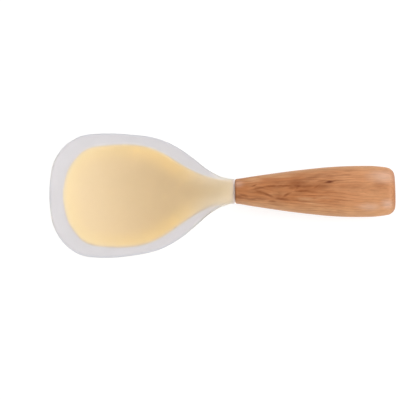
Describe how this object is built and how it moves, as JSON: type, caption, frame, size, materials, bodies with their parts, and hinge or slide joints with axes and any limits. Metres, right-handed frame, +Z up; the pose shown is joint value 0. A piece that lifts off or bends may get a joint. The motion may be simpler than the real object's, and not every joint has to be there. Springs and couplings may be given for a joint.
{
  "type": "rice paddle",
  "caption": "Rice paddle with a shallow dished blade of clear silicone moulded over a yellow core, on a flared wooden handle.",
  "frame": {"origin": "on the table, under the middle of the paddle's bounding box, with the blade's belly and the underside of the handle's butt on the table", "axes": "+X along the paddle from the blade's tip to the handle's butt, +Y across the blade, +Z up out of the dish"},
  "size_m": [0.21, 0.0786, 0.0208],
  "materials": {
    "silicone_skin": "frosted translucent silicone",
    "blade_core": "smooth matte nylon",
    "steel_insert": "stamped stainless sheet",
    "handle": "satin oiled cherry wood",
    "tang_glue": "cured epoxy"
  },
  "bodies": {
    "root": {"silicone_skin": "silicone_skin", "blade_core": "blade_core", "steel_insert": "steel_insert", "handle": "handle", "tang_glue": "tang_glue"}
  },
  "joints": []
}
